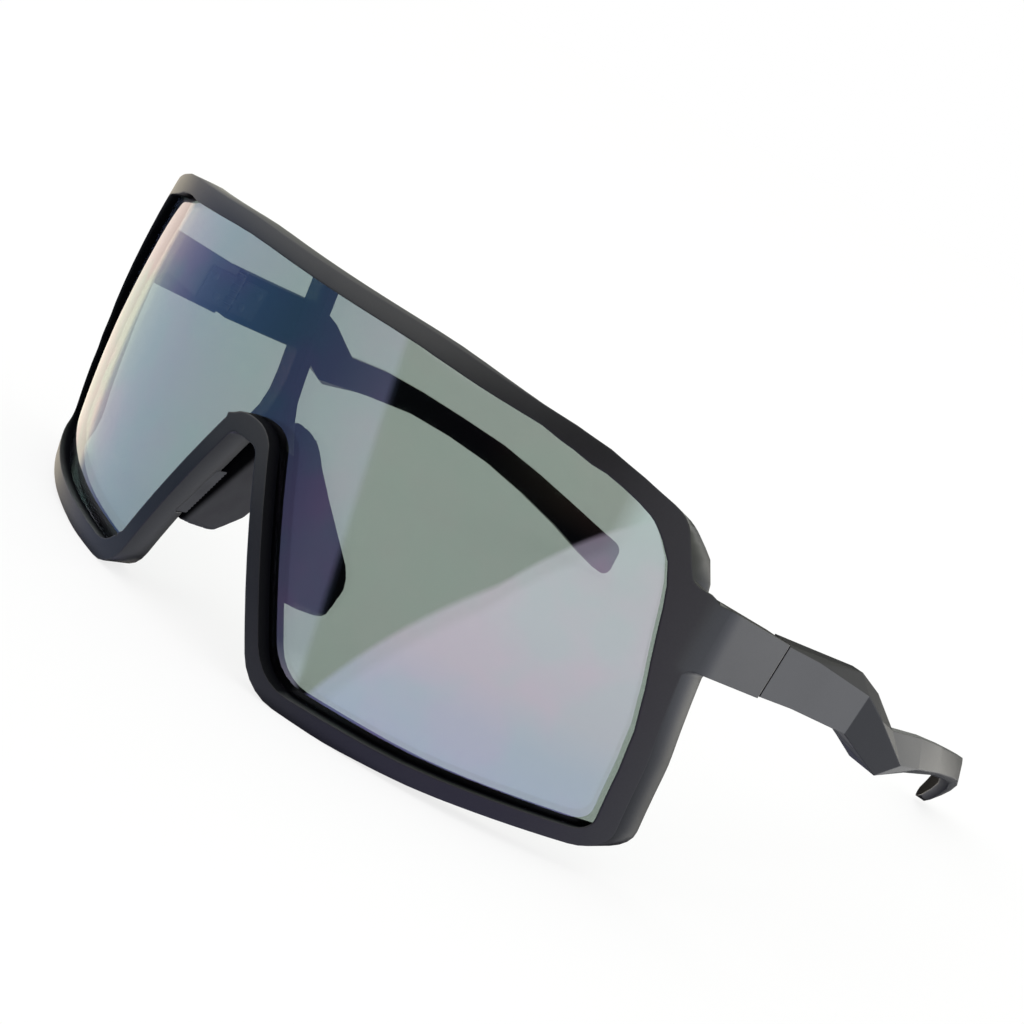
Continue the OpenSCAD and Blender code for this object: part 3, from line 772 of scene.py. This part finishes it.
def rivetTree():
    tree = bpy.data.node_groups.new("rivet_rows", "GeometryNodeTree")
    sockets = {}
    tree.interface.new_socket("Places", in_out="INPUT", socket_type="NodeSocketGeometry")
    for name in ("Head Radius", "Head Height", "Shank Radius", "Shank Length", "Shank Middle"):
        sockets[name] = tree.interface.new_socket(name, in_out="INPUT", socket_type="NodeSocketFloat").identifier
    sockets["Finish"] = tree.interface.new_socket("Finish", in_out="INPUT", socket_type="NodeSocketMaterial").identifier
    tree.interface.new_socket("Rivets", in_out="OUTPUT", socket_type="NodeSocketGeometry")

    def node(kind, values=None):
        made = tree.nodes.new(kind)
        for key, value in (values or {}).items():
            slot = next(s for s in made.inputs if s.name == key)
            if isinstance(value, bpy.types.NodeSocket):
                tree.links.new(value, slot)
            else:
                slot.default_value = value
        return made

    given = node("NodeGroupInput").outputs
    size = node("ShaderNodeCombineXYZ", {
        "X": given["Head Height"], "Y": given["Head Radius"], "Z": given["Head Radius"]})
    ball = node("GeometryNodeMeshUVSphere", {"Segments": 24, "Rings": 12, "Radius": 1.0})
    head = node("GeometryNodeTransform", {"Geometry": ball.outputs["Mesh"], "Scale": size.outputs[0]})
    rod = node("GeometryNodeMeshCylinder", {
        "Vertices": 24, "Radius": given["Shank Radius"], "Depth": given["Shank Length"]})
    place = node("ShaderNodeCombineXYZ", {"X": given["Shank Middle"]})
    shank = node("GeometryNodeTransform", {
        "Geometry": rod.outputs["Mesh"], "Translation": place.outputs[0], "Rotation": (0, math.pi / 2, 0)})
    rivet = node("GeometryNodeJoinGeometry", {"Geometry": head.outputs["Geometry"]})
    tree.links.new(shank.outputs["Geometry"], rivet.inputs[0])
    rows = node("GeometryNodeInstanceOnPoints", {"Points": given["Places"], "Instance": rivet.outputs["Geometry"]})
    plain = node("GeometryNodeRealizeInstances", {"Geometry": rows.outputs["Instances"]})
    finished = node("GeometryNodeSetMaterial", {"Geometry": plain.outputs["Geometry"], "Material": given["Finish"]})
    out = node("NodeGroupOutput")
    tree.links.new(finished.outputs["Geometry"], out.inputs[0])
    return tree, sockets


# the boxes of a CAD node's separate bodies, in metres
def bodyBoxes(nodeName):
    work = bmesh.new()
    work.from_mesh(nodes[nodeName].data)
    bmesh.ops.remove_doubles(work, verts=work.verts, dist=2e-6)
    work.verts.ensure_lookup_table()
    seen, boxes = set(), []
    for first in work.verts:
        if first.index in seen:
            continue
        seen.add(first.index)
        heap, body = [first], []
        while heap:
            v = heap.pop()
            body.append(v.co.copy())
            for edge in v.link_edges:
                other = edge.other_vert(v)
                if other.index not in seen:
                    seen.add(other.index)
                    heap.append(other)
        boxes.append([[pick(p[k] for p in body) for k in range(3)] for pick in (min, max)])
    work.free()
    return boxes


def rivetRow(nodeName, tree, sockets, shape=rivetShape):
    boxes = bodyBoxes(nodeName)
    side = 1 if boxes[0][0][0] > 0 else -1
    low, high = boxes[0]
    inner, outer = (low[0], high[0]) if side > 0 else (high[0], low[0])
    radius = (high[2] - low[2]) / 2 / shape["Head Radius"] * 0.99
    seat = inner + side * radius * shape["Head Height"] * 1.02
    length = abs(outer - seat) * 0.99
    points = [(seat, (a[1] + b[1]) / 2, (a[2] + b[2]) / 2) for a, b in boxes]
    mesh = bpy.data.meshes.new(nodeName + "_places")
    mesh.from_pydata(points, [], [])
    holder = bpy.data.objects.new(nodeName + "_places", mesh)
    bpy.context.scene.collection.objects.link(holder)
    modifier = holder.modifiers.new("rivets", "NODES")
    modifier.node_group = tree
    for key, share in shape.items():
        modifier[sockets[key]] = radius * share
    modifier[sockets["Shank Length"]] = length
    modifier[sockets["Shank Middle"]] = side * length / 2
    modifier[sockets["Finish"]] = screwSteel
    made = bpy.data.meshes.new_from_object(holder.evaluated_get(bpy.context.evaluated_depsgraph_get()))
    holder.modifiers.remove(modifier)
    bpy.data.objects.remove(holder)
    made.name = nodeName + "_domed"
    angle = math.radians(40.0)
    made.set_sharp_from_angle(angle=angle)
    made.polygons.foreach_set("use_smooth", [True] * len(made.polygons))
    return made


tree, sockets = rivetTree()
for hand in ("right", "left"):
    for part, body in (("front_rivets_", "front"), ("temple_rivets_", hand + "_side")):
        row = addPiece("domed_" + part + hand, rivetRow(part + hand, tree, sockets), screwSteel, body)
        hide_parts(part + hand)
print("rivets done")

# nose pads: reach towards the face and height along the nose, as shares
padShape = {"length": 28.7, "reach": 14.5, "thickness": 2.8, "gap": 0.1, "front": 5.8, "foot": 12.0,
            "edge": 1.3, "spacing": 0.4, "shadeFoot": 1.2, "shadeRise": 4.5}
padShares = [(0.0, 1), (0.2, 0.958), (0.324, 0.913), (0.386, 0.864), (0.462, 0.763), (0.617, 0.61),
             (0.834, 0.408), (0.972, 0.282), (1, 0.213), (0.98, 0.146), (0.824, 0.049), (0.731, 0), (0.624, 0),
             (0.345, 0.024), (0.159, 0.049), (0, 0.09)]


def nosePad(hand, shape=padShape):
    corners = [(shape["front"] + u * shape["reach"], shape["foot"] + v * shape["length"], 0.9) for u, v in padShares]
    outline = refined(rounded(corners, 20.0), shape["spacing"])
    outline.reverse()
    net, tris = filledNet(outline, shape["spacing"])
    tris = [(a, c, b) for a, b, c in tris]
    side = 1 if hand == "right" else -1
    up = Vector((-math.sin(archAngle), 0, math.cos(archAngle)))
    out = Vector((math.cos(archAngle), 0, math.sin(archAngle)))
    near, far = [], []
    for p in net:
        deep = min(edgeDistance(p, outline) / shape["edge"], 1.0)
        swell = math.sqrt(max(0.0, 1 - (1 - deep) ** 2))
        base = Vector((front["archFoot"], p.x - middleY, 0)) + up * p.y
        middle = shape["gap"] + shape["thickness"] / 2
        half = shape["thickness"] / 2 * (0.12 + 0.88 * swell)
        for points, offset in ((near, middle - half), (far, middle + half)):
            q = base + out * offset
            points.append(Vector((q.x * side, q.y, q.z)))
    if side < 0:
        near, far = far, near
    mesh = shellMesh("pad_" + hand, near, far, tris)
    mesh.polygons.foreach_set("use_smooth", [True] * len(mesh.polygons))
    away = Vector((out.x * side, 0, out.z))
    # painted shade: the pad's side that faces away from the nose dark, and the nose side dark near the rim, in a band
    # that widens upwards
    marks = []
    for face in mesh.polygons:
        for i in face.vertices:
            p = mesh.vertices[i].co / mm
            depth = p.y + middleY - shape["front"]
            edge = shape["shadeFoot"] + shape["shadeRise"] * p.z / (shape["foot"] + shape["length"])
            marks.append(1.0 if face.normal.dot(away) > 0.4 else 1 - stepped(edge - 1.0, edge + 1.0, depth))
    markPaintedShade(mesh, marks)
    return mesh


for hand in ("right", "left"):
    pad = addPiece("rubber_pad_" + hand, nosePad(hand), padRubber, "front")
    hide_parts("nose_pad_" + hand)
print("pads done")

# the world: white to the camera; to everything else a bright room with a dark part in front, a bluish card on the
# left that ends in a warm wall, and a pale sheet below. Angles are in degrees: azimuth from the front, height above
# the floor. A pair says where a part begins and where it is full; a patch is the way it lies, the cosine of its
# half angle and the blur of its edge
studio = {
    "room": (2.1, 2.1, 2.1), "rear": (2.3, 2.25, 2.1), "ceiling": (0.85, 0.88, 0.76), "right": (1.4, 1.46, 1.68),
    "side": (0.80, 0.84, 0.88), "dark": (0.006, 0.006, 0.007), "glow": (0.10, 0.07, 0.045),
    "under": (0.75, 0.77, 0.86), "leastSheet": 0.78,
    "card": ((-140, (1.55, 1.40, 1.12)), (-101, (1.6, 1.44, 1.15)), (-97, (0.62, 0.62, 0.72)),
             (-85, (0.34, 0.39, 0.62)), (-75, (0.18, 0.25, 0.50)), (-62, (0.10, 0.19, 0.38)),
             (-48, (0.09, 0.17, 0.30)), (-34, (0.14, 0.18, 0.33)), (-22, (0.27, 0.25, 0.42))),
    "sheet": ((-32, (0.58, 0.57, 1.10)), (-25, (0.62, 0.58, 0.98)), (-20, (0.88, 0.65, 0.94)),
              (-12, (0.97, 0.77, 1.0)), (0, (0.90, 0.82, 0.94)), (8, (1.2, 1.1, 1.2))),
    "cardPatch": ((-0.8552, -0.4202, -0.3034), 0.7011, 0.009), "wallPatch": ((-0.64, 0.77, 0.0), -0.35, 0.05),
    "sheetPatch": ((0.5237, -0.2435, -0.8164), 0.5128, 0.006),
    "fullPatch": ((0.5237, -0.2435, -0.8164), 0.545, 0.010), "rearPatch": ((0.12, 0.99, -0.08), 0.955, 0.025),
    "ceilingPatch": ((0.0, 1.0, 0.0), 0.15, 0.25), "rightPatch": ((0.85, 0.5, 0.0), 0.75, 0.15),
    "cardFront": (5.0, -5.0), "cardRear": (-152.0, -142.0), "cardTop": (14.0, 6.0), "sheetRight": (82.0, 62.0),
    "underTop": (-26.0, -38.0), "ceilingFoot": (6.0, 20.0),
    "sideRear": (92.0, 66.0), "sideFront": (5.0, 25.0), "sideTop": (46.0, 30.0),
    "darkRight": (42.0, 34.0), "darkTop": (48.0, 28.0), "upperFoot": (4.0, 10.0), "upperRight": (0.0, -16.0),
    "glowFoot": (-3.0, 6.0), "glowLeft": (0.0, 20.0),
}


def studioWorld(look=studio):
    world = bpy.data.worlds.new("studio")
    bpy.context.scene.world = world
    finish = Finish("studio", world)
    way = finish.node("TexCoord", out="Generated")
    isCamera = finish.node("LightPath", out="Is Camera Ray")
    x, y, z = (finish.node("SeparateXYZ", None, {"Vector": way}, axis) for axis in "XYZ")
    azimuth = finish.node("Math", {"operation": "ARCTAN2"}, {"Value": x, "Value_001": y * -1}) * (180 / math.pi)
    height = finish.node("Math", {"operation": "ARCSINE"}, {"Value": z}) * (180 / math.pi)

    def ramp(value, stops):
        low, high = stops[0][0], stops[-1][0]
        shares = [((place - low) / (high - low), colour) for place, colour in stops]
        return finish.node("ValToRGB", {"stops": shares}, {"Fac": finish.clear(value, low, high)}, "Color")

    def within(patch):
        direction, edge, blur = look[patch]
        turned = finish.node("VectorMath", {"operation": "DOT_PRODUCT"}, {
            "Vector": way, "Vector_001": direction}, "Value")
        return finish.clear(turned, edge - blur, edge + blur)

    def faded(angle, pair):
        return finish.clear(angle, *look[pair])

    isLeft = finish.clear(within("cardPatch") + within("wallPatch"), 0.0, 1.0)
    isLeft = isLeft * faded(azimuth, "cardFront") * faded(azimuth, "cardRear")
    isLow = within("sheetPatch") * faded(azimuth, "sheetRight")
    isLow = isLow * (look["leastSheet"] + within("fullPatch") * (1 - look["leastSheet"]))
    under = faded(height, "underTop")
    ceiling = faded(height, "ceilingFoot") * within("ceilingPatch")
    side = faded(azimuth, "sideRear") * faded(azimuth, "sideFront") * faded(height, "sideTop")
    dark = faded(azimuth, "darkRight") * faded(height, "darkTop")
    upper = faded(height, "upperFoot") * faded(azimuth, "upperRight")
    onCard = faded(height, "cardTop") * (1 - under)

    room = finish.tint(look["room"], look["right"], within("rightPatch"))
    room = finish.tint(room, look["rear"], within("rearPatch"))
    room = finish.tint(finish.tint(room, look["ceiling"], ceiling), look["side"], side)
    room = finish.tint(room, look["under"], under)
    glow = finish.tint(look["dark"], look["glow"], faded(height, "glowFoot") * faded(azimuth, "glowLeft"))
    colour = finish.tint(room, glow, dark * (1 - upper))
    colour = finish.tint(colour, ramp(height, look["sheet"]), isLow)
    colour = finish.tint(colour, finish.tint(room, ramp(azimuth, look["card"]), onCard), isLeft)
    colour = finish.tint(colour, (1, 1, 1), isCamera)
    finish.close(finish.node("Background", None, {"Color": colour, "Strength": 1.0}), "OutputWorld")


def areaLight(name, place, target, size, power, colour):
    lamp = bpy.data.lights.new(name, "AREA")
    lamp.shape = "DISK"
    lamp.size = size
    lamp.energy = power
    lamp.color = colour
    light = bpy.data.objects.new(name, lamp)
    light.location = place
    light.rotation_euler = (Vector(target) - Vector(place)).to_track_quat("-Z", "Y").to_euler()
    bpy.context.scene.collection.objects.link(light)
    light.visible_glossy = False


# seen by the camera the floor glows nearly white, and for the other rays it is pale paper
floorLook = {"half": 3.0, "paper": 0.8, "seenPaper": 0.14, "glow": 0.80}


def paleFloor(look=floorLook):
    mesh = bpy.data.meshes.new("floor")
    half = look["half"]
    mesh.from_pydata([(-half, -half, 0), (half, -half, 0), (half, half, 0), (-half, half, 0)], [], [(0, 1, 2, 3)])
    floor = bpy.data.objects.new("floor", mesh)
    bpy.context.scene.collection.objects.link(floor)
    finish = Finish("pale_floor")
    isCamera = finish.node("LightPath", out="Is Camera Ray")
    shade = look["paper"] - isCamera * (look["paper"] - look["seenPaper"])
    paper = finish.node("CombineColor", None, {"Red": shade, "Green": shade, "Blue": shade})
    matt = finish.node("BsdfDiffuse", None, {"Color": paper})
    glow = finish.node("Emission", None, {"Color": (1, 1, 1), "Strength": isCamera * look["glow"]})
    mesh.materials.append(finish.close(finish.node("AddShader", None, {"Shader": matt, "Shader_001": glow})))
    floor.visible_glossy = False


studioWorld()
paleFloor()
areaLight("overhead_light", (0.25, 0.45, 1.3), (0, 0, 0), 0.9, 1.6, (1.0, 0.98, 0.93))
areaLight("window_light", (1.3, 0.15, 0.45), (0, 0, 0.03), 0.8, 0.8, (0.90, 0.96, 1.0))
print("light done")

# the camera stands where the photograph was taken from
shot = {
    "place": (0.226886, -0.32245, 0.11192),
    "right": (0.66326731, 0.61246001, 0.43008047),
    "up": (-0.46878339, -0.10795657, 0.87669123),
    "back": (0.58336833, -0.78309522, 0.21550701),
    "lens": 79.592, "sensor": 36.0,
}
lensData = bpy.data.cameras.new("camera")
lensData.sensor_width = shot["sensor"]
lensData.lens = shot["lens"]
lensData.clip_start = 0.01
camera = bpy.data.objects.new("camera", lensData)
bpy.context.scene.collection.objects.link(camera)
rows = [[shot["right"][i], shot["up"][i], shot["back"][i], shot["place"][i]] for i in range(3)] + [[0, 0, 0, 1]]
camera.matrix_world = Matrix(rows)
bpy.context.scene.camera = camera
bpy.context.scene.view_settings.view_transform = "Standard"
